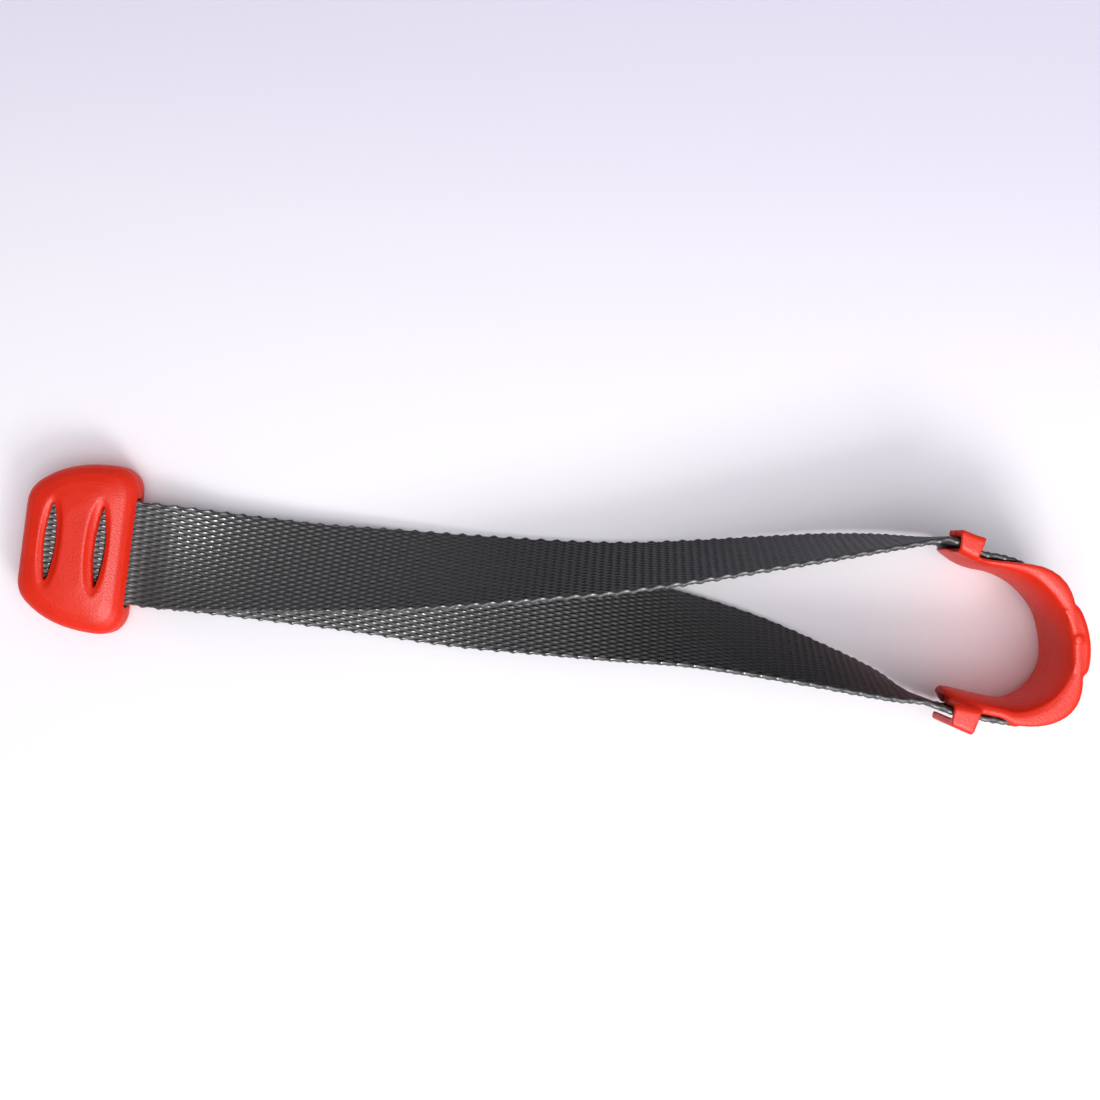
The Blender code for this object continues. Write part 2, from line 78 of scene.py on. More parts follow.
# The webbing's route, in millimetres. Each leg is x, y, z and the twist from flat in degrees.
UPPER_LEG = (
    (12.9, 0.0, 7.05, 0.0),
    (16.0, 0.0, 7.25, 0.5),
    (22.0, 0.1, 8.2, 6.0),
    (35.0, 0.6, 8.8, 20.0),
    (54.0, 1.8, 9.8, 31.0),
    (74.0, 3.7, 10.1, 38.0),
    (91.0, 5.7, 10.5, 46.0),
    (113.0, 8.7, 11.3, 56.0),
    (130.0, 11.4, 11.9, 62.0),
    (146.0, 14.9, 12.5, 67.0),
    (162.0, 18.8, 13.1, 72.0),
    (178.0, 22.6, 13.6, 77.0),
    (191.0, 25.4, 14.0, 83.0),
    (203.0, 27.5, 14.3, 90.0),
    (207.0, 27.9, 14.3, 90.0),
)
LOWER_LEG = (
    (12.9, 0.0, 5.35, 0.0),
    (16.0, 0.0, 5.2, 0.0),
    (22.0, 0.0, 3.8, 0.5),
    (40.0, 0.1, 2.2, 5.0),
    (65.0, 0.2, 2.8, 8.0),
    (91.0, -0.4, 4.0, 14.0),
    (114.0, -0.5, 7.0, 29.0),
    (131.0, -0.8, 8.7, 39.0),
    (148.0, -1.2, 10.3, 49.0),
    (165.0, -2.9, 11.6, 58.0),
    (180.0, -5.3, 12.8, 68.0),
    (195.0, -8.2, 13.8, 79.0),
    (203.0, -10.2, 14.3, 90.0),
    (207.0, -11.1, 14.3, 90.0),
)
# Inside the block, as x and z: from the mouth to the pin, the lap's inner ply, and its outer ply
TOP_PATH = ((12.9, 7.05), (8.0, 7.45), (0.0, 8.2))
LAP_PATH = ((-6.2, 3.6), (-4.0, 3.95), (1.0, 4.9), (5.6, 5.75))
END_PATH = ((12.9, 5.35), (7.0, 4.4), (1.0, 3.3), (-4.4, 2.25))
PIN_CENTRE = (-7.6, 6.2)
PIN_TURN_RADIUS = 2.65
# The cradle's inner face: a point, the heading in degrees, the lengths of the curve's handles before
# and after the point, and the wall's thickness
WAIST_NODES = (
    ((203.9, 25.2), -25.0, 0.0, 3.5, 1.5),
    ((214.0, 21.7), 0.0, 3.8, 9.2, 2.4),
    ((232.6, 4.0), -90.0, 9.2, 6.4, 2.9),
    ((222.0, -7.6), -180.0, 5.2, 4.5, 3.8),
    ((208.3, -6.4), -184.0, 4.5, 0.0, 4.2),
)
WAIST_STEPS = 16
# The webbing round the cradle: how far its middle stands off the wall's outer face, its height, and
# where it starts and ends, counted in WAIST_NODES
SEAT_TO_WEB = 0.95
BIGHT_HEIGHT = 14.3
BIGHT_SPAN = (0.04, 3.93)
# Where one stretch of the webbing ends and the next starts
LEG_START_X = 23.85
NECK_START_X = 183.85
BIGHT_START_X = 203.0
# How finely the route is read: along the legs, round the pin and round the cradle
LEG_STEP = 1.0
PIN_STEPS = 24
BIGHT_STEPS = 110
# How finely the weave is drawn
ROWS_PER_PICK = 4
STEPS_PER_YARN = 3
# The weave's form: how narrow a crown is, how far the selvedge is rounded, how close to the edge the
# scallop stays, and the share of the second wave in it
CROWN_SHARPNESS = 1.5
SELVEDGE_ROUND = 0.45
SCALLOP_REACH = 10
SCALLOP_SECOND_WAVE = 0.7

# Marks of the moulding, in millimetres: the gate's stub with crumbs of plastic on it, a nub, and the
# torn end of the upper hook. The tear fades in over x and y, and has a scale and a depth for each of
# its two layers.
GATE_PLACE = (234.9, 8.5, 28.5)
GATE_RADII = (1.25, 1.0)
GATE_HEIGHT = 0.7
GATE_CRUMBS = 5
CRUMB_RADIUS = 0.3
NUB_PLACE = (223.0, -12.4, 27.4)
NUB_RADIUS = 0.9
NUB_STRETCH = (1.5, 0.9, 1.0)
TORN_END_X = 206.0
TORN_FROM_Y = 28.4
TORN_BELOW_Z = 28.0
TEAR_FADE = (1.2, 0.5)
TEAR_COARSE = (1.1, 0.55)
TEAR_FINE = (2.7, 0.25)
TEAR_SEED = 1

# The stage, in metres: lights stand off the middle of the part, and the camera over a fixed point
FLOOR_REACH = 3.0
# Where along y the floor's painted shade starts and where it is full
FLOOR_PAINTED_SHADE_SPAN = (0.02, 0.17)
KEY_OFFSET = (0.30, -0.42, 0.42)
KEY_SIZE = 0.22
GLINT_OFFSET = (0.1, -0.2, 0.6)
GLINT_SIZE = 0.08
OVERHEAD_OFFSET = (0.15, -0.25, 0.8)
OVERHEAD_SIZE = 0.9
CAMERA_PLACE = (0.1127, 0.0135)


# ---------------------------------------------------------------- settings


class WebbingSettings(bpy.types.PropertyGroup):
    """Sizes and colours of the woven webbing."""

    width: FloatProperty(
        name="Width",
        description="Width of the webbing between its edges",
        default=25.0 * MM,
        min=0.01,
        unit="LENGTH",
    )
    core: FloatProperty(
        name="Core half thickness",
        description="Half the thickness between the lowest points of the two faces",
        default=0.4 * MM,
        min=0.0001,
        unit="LENGTH",
    )
    crown: FloatProperty(
        name="Yarn crown",
        description="How far a warp yarn rises over the core where it crosses a weft yarn",
        default=0.42 * MM,
        min=0.0,
        unit="LENGTH",
    )
    pick: FloatProperty(
        name="Weft pitch",
        description="Distance along the webbing from one weft yarn to the next",
        default=1.95 * MM,
        min=0.0005,
        unit="LENGTH",
    )
    warp_ends: IntProperty(
        name="Warp yarns",
        description="Number of warp yarns across the webbing",
        default=38,
        min=4,
    )
    scallop: FloatProperty(
        name="Edge scallop",
        description="How far the woven edge waves in and out",
        default=0.16 * MM,
        min=0.0,
        unit="LENGTH",
    )
    yarn_colour: FloatVectorProperty(
        name="Yarn",
        description="Colour on the crowns of the yarns",
        default=(0.048, 0.048, 0.056),
        subtype="COLOR",
        min=0.0,
        max=1.0,
    )
    # Painted shade: the yarn is darkened to this colour down between the yarns and on the rounded edges,
    # where shade falls
    painted_shade_between_yarns: FloatVectorProperty(
        name="Between yarns",
        description="Colour down between the yarns",
        default=(0.003, 0.003, 0.004),
        subtype="COLOR",
        min=0.0,
        max=1.0,
    )


class MouldingSettings(bpy.types.PropertyGroup):
    """Sizes and colours of the red mouldings."""

    voxel: FloatProperty(
        name="Surface step",
        description="Size of the grid that the moulded surface is drawn on",
        default=0.3 * MM,
        min=0.0001,
        unit="LENGTH",
    )
    block_rounds: IntProperty(
        name="Block softening",
        description="How many times the block's surface is smoothed, which rounds its edges",
        default=4,
        min=0,
    )
    cradle_rounds: IntProperty(
        name="Cradle softening",
        description="How many times the cradle's surface is smoothed, which rounds its edges",
        default=9,
        min=0,
    )
    block_colour: FloatVectorProperty(
        name="Stop block",
        description="Colour of the stop block",
        default=(0.75, 0.018, 0.002),
        subtype="COLOR",
        min=0.0,
        max=1.0,
    )
    cradle_colour: FloatVectorProperty(
        name="Cradle",
        description="Colour of the cradle",
        default=(0.76, 0.02, 0.003),
        subtype="COLOR",
        min=0.0,
        max=1.0,
    )
    roughness: FloatProperty(
        name="Roughness",
        description="Roughness of the moulded surface",
        default=0.45,
        min=0.0,
        max=1.0,
        subtype="FACTOR",
    )


class StageSettings(bpy.types.PropertyGroup):
    """The plain stage: floor, lights and camera."""

    floor_colour: FloatVectorProperty(
        name="Floor",
        description="Colour of the floor",
        default=(0.9, 0.89, 0.91),
        subtype="COLOR",
        min=0.0,
        max=1.0,
    )
    # Painted shade: towards its far side the floor is darkened and cooled to this colour, where less light
    # falls
    back_painted_shade_tint: FloatVectorProperty(
        name="Far side",
        description="Colour of the floor towards its far side",
        default=(0.74, 0.71, 0.82),
        subtype="COLOR",
        min=0.0,
        max=1.0,
    )
    camera_height: FloatProperty(
        name="Camera height",
        description="Height of the camera over the floor",
        default=0.42,
        min=0.1,
        unit="LENGTH",
    )
    lens: FloatProperty(
        name="Lens",
        description="Focal length in millimetres on a 36 mm sensor",
        default=56.2,
        min=10.0,
    )
    turn: FloatProperty(
        name="Camera turn",
        description="Turn of the camera about the line of sight",
        default=math.radians(7.3),
        subtype="ANGLE",
    )
    key_power: FloatProperty(
        name="Key light",
        description="Power of the key light in watts",
        default=2.1,
        min=0.0,
    )
    overhead_power: FloatProperty(
        name="Overhead light",
        description="Power of the wide light overhead in watts",
        default=5.2,
        min=0.0,
    )
    glint_power: FloatProperty(
        name="Glint light",
        description="Power in watts of the small light that only shows in glossy surfaces",
        default=11.0,
        min=0.0,
    )
    world_strength: FloatProperty(
        name="Surroundings",
        description="Strength of the even light from all round",
        default=0.45,
        min=0.0,
    )


# ---------------------------------------------------------------- shader groups and materials


def group_tree(name, inputs, outputs):
    """An empty shader node group with these sockets, and its two end nodes."""
    tree = bpy.data.node_groups.new(name, "ShaderNodeTree")
    for label, kind, default in inputs:
        socket = tree.interface.new_socket(name=label, in_out="INPUT", socket_type=kind)
        socket.default_value = default
    for label, kind in outputs:
        tree.interface.new_socket(name=label, in_out="OUTPUT", socket_type=kind)
    return tree, tree.nodes.new("NodeGroupInput"), tree.nodes.new("NodeGroupOutput")


def ranged(tree, source, low, high):
    """A Map Range node that takes 0..1 to low..high."""
    node = tree.nodes.new("ShaderNodeMapRange")
    node.inputs["To Min"].default_value = low
    node.inputs["To Max"].default_value = high
    tree.links.new(source, node.inputs["Value"])
    return node.outputs["Result"]


def grain_group():
    """Spark-eroded grain of a moulding, with slow patches of tone: a height, and a colour mask."""
    found = bpy.data.node_groups.get("moulded grain")
    if found:
        return found
    inputs = (
        ("Grain Scale", "NodeSocketFloat", 3000.0),
        ("Patch Scale", "NodeSocketFloat", 90.0),
    )
    outputs = (("Height", "NodeSocketFloat"), ("Patches", "NodeSocketFloat"))
    tree, start, end = group_tree("moulded grain", inputs, outputs)
    where = tree.nodes.new("ShaderNodeTexCoord")
    pits = tree.nodes.new("ShaderNodeTexNoise")
    pits.inputs["Detail"].default_value = 3.0
    pits.inputs["Roughness"].default_value = 0.6
    cells = tree.nodes.new("ShaderNodeTexVoronoi")
    both = tree.nodes.new("ShaderNodeMath")
    both.operation = "ADD"
    patches = tree.nodes.new("ShaderNodeTexNoise")
    patches.inputs["Detail"].default_value = 2.0
    tree.links.new(where.outputs["Object"], pits.inputs["Vector"])
    tree.links.new(where.outputs["Object"], cells.inputs["Vector"])
    tree.links.new(where.outputs["Object"], patches.inputs["Vector"])
    tree.links.new(start.outputs["Grain Scale"], pits.inputs["Scale"])
    tree.links.new(start.outputs["Grain Scale"], cells.inputs["Scale"])
    tree.links.new(start.outputs["Patch Scale"], patches.inputs["Scale"])
    tree.links.new(pits.outputs["Fac"], both.inputs[0])
    tree.links.new(cells.outputs["Distance"], both.inputs[1])
    tree.links.new(both.outputs["Value"], end.inputs["Height"])
    tree.links.new(patches.outputs["Fac"], end.inputs["Patches"])
    return tree


def fibre_group():
    """Filaments that run along a yarn, from the piece's own UV map."""
    found = bpy.data.node_groups.get("yarn filaments")
    if found:
        return found
    inputs = (("Across", "NodeSocketFloat", 9000.0), ("Along", "NodeSocketFloat", 700.0))
    outputs = (("Filaments", "NodeSocketFloat"),)
    tree, start, end = group_tree("yarn filaments", inputs, outputs)
    where = tree.nodes.new("ShaderNodeUVMap")
    where.uv_map = "weave"
    size = tree.nodes.new("ShaderNodeCombineXYZ")
    stretch = tree.nodes.new("ShaderNodeVectorMath")
    stretch.operation = "MULTIPLY"
    strands = tree.nodes.new("ShaderNodeTexNoise")
    strands.inputs["Scale"].default_value = 1.0
    strands.inputs["Detail"].default_value = 2.0
    tree.links.new(start.outputs["Along"], size.inputs["X"])
    tree.links.new(start.outputs["Across"], size.inputs["Y"])
    tree.links.new(where.outputs["UV"], stretch.inputs[0])
    tree.links.new(size.outputs["Vector"], stretch.inputs[1])
    tree.links.new(stretch.outputs["Vector"], strands.inputs["Vector"])
    tree.links.new(strands.outputs["Fac"], end.inputs["Filaments"])
    return tree


def new_material(name):
    """A new material with its node tree and its main shader."""
    made = bpy.data.materials.new(name)
    made.use_nodes = True
    return made, made.node_tree, made.node_tree.nodes["Principled BSDF"]


def add_group(tree, group, values):
    """A node of this group in the tree, with these input values."""
    node = tree.nodes.new("ShaderNodeGroup")
    node.node_tree = group
    for label, value in values.items():
        node.inputs[label].default_value = value
    return node


def mix_colours(tree, mask, low, high):
    """A colour mix between two fixed colours by a mask."""
    node = tree.nodes.new("ShaderNodeMix")
    node.data_type = "RGBA"
    node.inputs[6].default_value = (*low, 1.0)
    node.inputs[7].default_value = (*high, 1.0)
    tree.links.new(mask, node.inputs[0])
    return node.outputs[2]


def add_bump(tree, shader, height, strength, distance):
    """Raises the shader's surface by a height."""
    bump = tree.nodes.new("ShaderNodeBump")
    bump.inputs["Strength"].default_value = strength
    bump.inputs["Distance"].default_value = distance
    tree.links.new(height, bump.inputs["Height"])
    tree.links.new(bump.outputs["Normal"], shader.inputs["Normal"])


def red_moulding(name, colour, roughness):
    """Satin red plastic: fine spark grain, slow changes of tone and of gloss."""
    made, tree, shader = new_material(name)
    grain = add_group(tree, grain_group(), {"Grain Scale": 2600.0, "Patch Scale": 110.0})
    dark = tuple(channel * 0.9 for channel in colour)
    light = (min(colour[0] * 1.07, 1.0), colour[1] * 1.25, colour[2] * 1.3)
    tone = mix_colours(tree, grain.outputs["Patches"], dark, light)
    tree.links.new(tone, shader.inputs["Base Color"])
    gloss = ranged(tree, grain.outputs["Patches"], roughness - 0.05, roughness + 0.08)
    tree.links.new(gloss, shader.inputs["Roughness"])
    add_bump(tree, shader, grain.outputs["Height"], 0.35, 0.00012)
    shader.inputs["Specular IOR Level"].default_value = 0.2
    shader.inputs["Subsurface Weight"].default_value = 0.06
    shader.inputs["Subsurface Radius"].default_value = (1.0, 0.15, 0.08)
    shader.inputs["Subsurface Scale"].default_value = 0.002
    return made


def black_webbing(settings):
    """Black yarn with painted shade: darker down between the yarns and on the rounded edges, with filaments
    that catch the light.
    """
    made, tree, shader = new_material("black woven yarn")
    crown = tree.nodes.new("ShaderNodeAttribute")
    crown.attribute_name = "crown"
    fibres = add_group(tree, fibre_group(), {"Across": 8000.0, "Along": 900.0})
    # The crown mask mixes painted shade into the low places between the yarns and on the edges
    tone = mix_colours(tree, crown.outputs["Fac"], settings.painted_shade_between_yarns, settings.yarn_colour)
    tree.links.new(tone, shader.inputs["Base Color"])
    polish = tree.nodes.new("ShaderNodeMath")
    polish.operation = "SUBTRACT"
    tree.links.new(fibres.outputs["Filaments"], polish.inputs[0])
    tree.links.new(crown.outputs["Fac"], polish.inputs[1])
    gloss = tree.nodes.new("ShaderNodeMapRange")
    gloss.inputs["From Min"].default_value = -0.6
    gloss.inputs["From Max"].default_value = 0.5
    gloss.inputs["To Min"].default_value = 0.15
    gloss.inputs["To Max"].default_value = 0.7
    tree.links.new(polish.outputs["Value"], gloss.inputs["Value"])
    tree.links.new(gloss.outputs["Result"], shader.inputs["Roughness"])
    add_bump(tree, shader, fibres.outputs["Filaments"], 0.15, 0.00005)
    shader.inputs["IOR"].default_value = 1.53
    shader.inputs["Specular IOR Level"].default_value = 0.9
    shader.inputs["Sheen Weight"].default_value = 0.05
    shader.inputs["Sheen Roughness"].default_value = 0.4
    return made


def brushed_steel():
    """Plated pin: bright metal with fine turning marks round it."""
    made, tree, shader = new_material("plated pin steel")
    where = tree.nodes.new("ShaderNodeTexCoord")
    squeeze = tree.nodes.new("ShaderNodeMapping")
    squeeze.inputs["Scale"].default_value = (300.0, 9000.0, 300.0)
    marks = tree.nodes.new("ShaderNodeTexNoise")
    marks.inputs["Scale"].default_value = 1.0
    tree.links.new(where.outputs["Object"], squeeze.inputs["Vector"])
    tree.links.new(squeeze.outputs["Vector"], marks.inputs["Vector"])
    tone = mix_colours(tree, marks.outputs["Fac"], (0.5, 0.5, 0.5), (0.72, 0.72, 0.7))
    tree.links.new(tone, shader.inputs["Base Color"])
    tree.links.new(ranged(tree, marks.outputs["Fac"], 0.2, 0.4), shader.inputs["Roughness"])
    add_bump(tree, shader, marks.outputs["Fac"], 0.2, 0.00003)
    shader.inputs["Metallic"].default_value = 1.0
    return made


def tack_thread():
    """Bonded thread: black, with the twist showing as fine slanting ridges."""
    made, tree, shader = new_material("black tack thread")
    where = tree.nodes.new("ShaderNodeTexCoord")
    tilt = tree.nodes.new("ShaderNodeMapping")
    tilt.inputs["Rotation"].default_value = (0.0, 0.0, math.radians(35))
    twist = tree.nodes.new("ShaderNodeTexWave")
    twist.inputs["Scale"].default_value = 900.0
    tree.links.new(where.outputs["Object"], tilt.inputs["Vector"])
    tree.links.new(tilt.outputs["Vector"], twist.inputs["Vector"])
    tone = mix_colours(tree, twist.outputs["Fac"], (0.008, 0.008, 0.01), (0.03, 0.03, 0.034))
    tree.links.new(tone, shader.inputs["Base Color"])
    tree.links.new(ranged(tree, twist.outputs["Fac"], 0.4, 0.6), shader.inputs["Roughness"])
    add_bump(tree, shader, twist.outputs["Fac"], 0.5, 0.0001)
    return made


def floor_material(colour, back_painted_shade_tint):
    """Matt pale paper with painted shade, darker and cooler towards its far side, with a faint tooth."""
    made, tree, shader = new_material("pale floor")
    where = tree.nodes.new("ShaderNodeTexCoord")
    tooth = tree.nodes.new("ShaderNodeTexNoise")
    tooth.inputs["Scale"].default_value = 900.0
    tree.links.new(where.outputs["Object"], tooth.inputs["Vector"])
    apart = tree.nodes.new("ShaderNodeSeparateXYZ")
    tree.links.new(where.outputs["Object"], apart.inputs["Vector"])
    fade = tree.nodes.new("ShaderNodeMapRange")
    fade.interpolation_type = "SMOOTHSTEP"
    fade.inputs["From Min"].default_value = FLOOR_PAINTED_SHADE_SPAN[0]
    fade.inputs["From Max"].default_value = FLOOR_PAINTED_SHADE_SPAN[1]
    tree.links.new(apart.outputs["Y"], fade.inputs["Value"])
    # The paper colour turns into painted shade towards the far side
    paper = mix_colours(tree, fade.outputs["Result"], colour, back_painted_shade_tint)
    tree.links.new(paper, shader.inputs["Base Color"])
    add_bump(tree, shader, tooth.outputs["Fac"], 0.05, 0.0001)
    shader.inputs["Roughness"].default_value = 0.9
    shader.inputs["Specular IOR Level"].default_value = 0.2
    return made


# ---------------------------------------------------------------- shared modelling


def smoothstep(value):
    """0 to 1 with level ends, and held at them outside."""
    value = min(max(value, 0.0), 1.0)
    return value * value * (3.0 - 2.0 * value)


def object_from(name, bm, look):
    """An object in the scene from a mesh under construction, smooth and with this material."""
    mesh = bpy.data.meshes.new(name)
    bm.to_mesh(mesh)
    bm.free()
    mesh.shade_smooth()
    mesh.materials.append(look)
    made = bpy.data.objects.new(name, mesh)
    bpy.context.scene.collection.objects.link(made)
    return made


def bake_modifiers(piece):
    """Replaces the piece's mesh with what its modifiers make of it."""
    graph = bpy.context.evaluated_depsgraph_get()
    finished = bpy.data.meshes.new_from_object(piece.evaluated_get(graph))
    piece.modifiers.clear()
    old = piece.data
    piece.data = finished
    bpy.data.meshes.remove(old)
    finished.shade_smooth()


def moulded_copy(name, node, look, settings, rounds, additions=None):
    """The CAD solid's shape as one soft moulded skin, with rounded edges and blended corners."""
    bm = bmesh.new()
    bm.from_mesh(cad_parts[node].data)
    bmesh.ops.remove_doubles(bm, verts=bm.verts, dist=MERGE_DISTANCE)
    if additions:
        additions(bm)
    piece = object_from(name, bm, look)
    skin = piece.modifiers.new("moulded skin", "REMESH")
    skin.mode = "VOXEL"
    skin.voxel_size = settings.voxel
    skin.use_smooth_shade = True
    soft = piece.modifiers.new("soft edges", "SMOOTH")
    soft.iterations = rounds
    bake_modifiers(piece)
    piece.data.materials.clear()
    piece.data.materials.append(look)
    return piece


# ---------------------------------------------------------------- webbing


def leg_frame(stations, x):
    """Centre, across and face directions of a leg at x, on a smooth curve through its stations."""
    last = len(stations) - 2
    index = min(max(sum(x > station[0] for station in stations) - 1, 0), last)
    before = stations[max(index - 1, 0)]
    start = stations[index]
    end = stations[index + 1]
    after = stations[min(index + 2, len(stations) - 1)]
    span = end[0] - start[0]
    share = (x - start[0]) / span
    square = share * share
    cube = square * share
    values = []
    for item in (1, 2, 3):
        slope_in = (end[item] - before[item]) / (end[0] - before[0]) * span
        slope_out = (after[item] - start[item]) / (after[0] - start[0]) * span
        value = (2 * cube - 3 * square + 1) * start[item] + (cube - 2 * square + share) * slope_in
        value += (3 * square - 2 * cube) * end[item] + (cube - square) * slope_out
        values.append(value)
    twist = math.radians(values[2])
    across = Vector((0.0, math.cos(twist), -math.sin(twist)))
    face = Vector((0.0, math.sin(twist), math.cos(twist)))
    return Vector((x, values[0], values[1])), across, face


def waist_stations():
    """Points along the cradle's inner face with their outward direction and the wall's thickness."""
    points = []
    for (start, heading, _, out, _), (end, next_heading, back, _, _) in zip(WAIST_NODES, WAIST_NODES[1:]):
        knot = Vector((*start, 0.0))
        last = Vector((*end, 0.0))
        handle = knot + Matrix.Rotation(math.radians(heading), 3, "Z") @ Vector((out, 0.0, 0.0))
        turn = Matrix.Rotation(math.radians(next_heading), 3, "Z")
        next_handle = last - turn @ Vector((back, 0.0, 0.0))
        points += interpolate_bezier(knot, handle, next_handle, last, WAIST_STEPS + 1)[:-1]
    points.append(Vector((*WAIST_NODES[-1][0], 0.0)))
    stations = []
    for index, point in enumerate(points):
        before = points[max(index - 1, 0)]
        after = points[min(index + 1, len(points) - 1)]
        along = (after - before).normalized()
        node = min(index // WAIST_STEPS, len(WAIST_NODES) - 2)
        share = smoothstep(index / WAIST_STEPS - node)
        thick = WAIST_NODES[node][4] * (1 - share) + WAIST_NODES[node + 1][4] * share
        stations.append((point, Vector((-along.y, along.x, 0.0)), thick))
    return stations


def bight_points(count):
    """Centre points of the webbing round the cradle."""
    stations = waist_stations()
    points = []
    for step in range(count + 1):
        spot = (BIGHT_SPAN[0] + (BIGHT_SPAN[1] - BIGHT_SPAN[0]) * step / count) * WAIST_STEPS
        index = min(int(spot), len(stations) - 2)
        share = spot - index
        point, outward, thick = (a + (b - a) * share for a, b in zip(stations[index], stations[index + 1]))
        place = point + outward.normalized() * (thick + SEAT_TO_WEB)
        points.append(Vector((place.x, place.y, BIGHT_HEIGHT)))
    return points


def flat_frames(path):
    """Frames of webbing that lies flat across, along points of x and z."""
    points = [Vector((x, 0.0, z)) for x, z in path]
    frames = []
    for index, point in enumerate(points):
        along = points[min(index + 1, len(points) - 1)] - points[max(index - 1, 0)]
        if index in (0, len(points) - 1):
            along = Vector((math.copysign(1.0, along.x), 0.0, 0.0))
        along.normalize()
        across = Vector((0.0, 1.0, 0.0))
        frames.append((point, across, along.cross(across)))
    return frames


def webbing_frames():
    """Frames along the whole length, and the name of the stretch that each one starts."""
    bend = []
    for step in range(PIN_STEPS + 1):
        angle = math.radians(270 - 180 * step / PIN_STEPS)
        x = PIN_CENTRE[0] + PIN_TURN_RADIUS * math.cos(angle)
        z = PIN_CENTRE[1] + PIN_TURN_RADIUS * math.sin(angle)
        bend.append((x, z))
    frames = flat_frames(list(reversed(LAP_PATH)) + bend + list(reversed(TOP_PATH)))
    marks = {"turn": 0, "mouth_upper": len(frames) - 1}
    x = UPPER_LEG[0][0] + LEG_STEP
    stretches = (("leg_upper", LEG_START_X), ("neck_upper", NECK_START_X), ("bight", BIGHT_START_X))
    for name, end_x in stretches:
        while x < end_x - 0.2 * LEG_STEP:
            frames.append(leg_frame(UPPER_LEG, x))
            x += LEG_STEP
        marks[name] = len(frames)
        frames.append(leg_frame(UPPER_LEG, end_x))
        x = end_x + LEG_STEP
    upright = Vector((0.0, 0.0, -1.0))
    points = [leg_frame(UPPER_LEG, BIGHT_START_X)[0], *bight_points(BIGHT_STEPS)]
    points.append(leg_frame(LOWER_LEG, BIGHT_START_X)[0])
    for before, point, after in zip(points, points[1:], points[2:]):
        along = after - before
        along.z = 0.0
        frames.append((point, upright, along.normalized().cross(upright)))
    x = BIGHT_START_X
    stretches = (("neck_lower", NECK_START_X), ("leg_lower", LEG_START_X), ("mouth_lower", LOWER_LEG[0][0]))
    for name, end_x in stretches:
        marks[name] = len(frames)
        while x > end_x + 0.2 * LEG_STEP:
            centre, across, face = leg_frame(LOWER_LEG, x)
            frames.append((centre, across, -face))
            x -= LEG_STEP
        x = end_x
    marks["end"] = len(frames)
    frames += flat_frames(END_PATH)
    return frames, marks


def resampled(frames, marks, pitch):
    """The same frames at an even pitch along the webbing, and where each stretch starts."""
    centres = np.array([tuple(item[0]) for item in frames]) * MM
    across = np.array([tuple(item[1]) for item in frames])
    face = np.array([tuple(item[2]) for item in frames])
    run = np.concatenate([[0.0], np.cumsum(np.linalg.norm(np.diff(centres, axis=0), axis=1))])
    count = ROWS_PER_PICK * int(round(run[-1] / pitch))
    wanted = {name: ROWS_PER_PICK * int(round(run[index] / pitch)) for name, index in marks.items()}
    # Each stretch starts exactly on its own frame and on a whole pick, so that neighbours match.
    names = sorted(marks, key=marks.get)
    knots = [run[marks[name]] for name in names] + [run[-1]]
    rows = [wanted[name] for name in names] + [count]
    even = np.interp(np.arange(count + 1), rows, knots)
    picked = []
    for values in (centres, across, face):
        picked.append(np.stack([np.interp(even, run, values[:, axis]) for axis in range(3)], axis=1))
    spots, sides, fronts = picked
    sides /= np.linalg.norm(sides, axis=1, keepdims=True)
    fronts -= sides * np.sum(fronts * sides, axis=1, keepdims=True)
    fronts /= np.linalg.norm(fronts, axis=1, keepdims=True)
    return spots, sides, fronts, even, wanted, count


def weave_offsets(settings, pick, ring):
    """Across, out-of-face and crown values round the section, at these picks along the webbing."""
    half_count = settings.warp_ends * STEPS_PER_YARN
    step = ring % (2 * half_count)
    on_back = step > half_count
    place = np.where(on_back, 2 * half_count - step, step)
    across = settings.width / 2 - settings.width * place / half_count
    yarn = np.floor(np.minimum(place, half_count - 1) / STEPS_PER_YARN)
    local = (place - yarn * STEPS_PER_YARN) / STEPS_PER_YARN * 2.0 - 1.0
    round_top = np.sqrt(np.clip(1.0 - local**2, 0.0, 1.0))
    phase = np.cos(math.pi * (pick + yarn))
    phase = np.where(on_back, -phase, phase)
    lift = round_top * (0.5 + 0.5 * phase) ** CROWN_SHARPNESS
    inward = np.clip((settings.width / 2 - np.abs(across)) / (SELVEDGE_ROUND * MM), 0.0, 1.0)
    selvedge = np.sqrt(1.0 - (1.0 - inward) ** 2)
    out = (settings.core + settings.crown * lift) * selvedge
    out = np.where(on_back, -out, out)
    near_edge = (np.abs(across) / (settings.width / 2)) ** SCALLOP_REACH
    wave = np.cos(math.pi * pick) + SCALLOP_SECOND_WAVE * np.cos(2 * math.pi * pick)
    across = across + np.sign(across) * (settings.scallop * near_edge * wave)
    return across, out, lift * selvedge


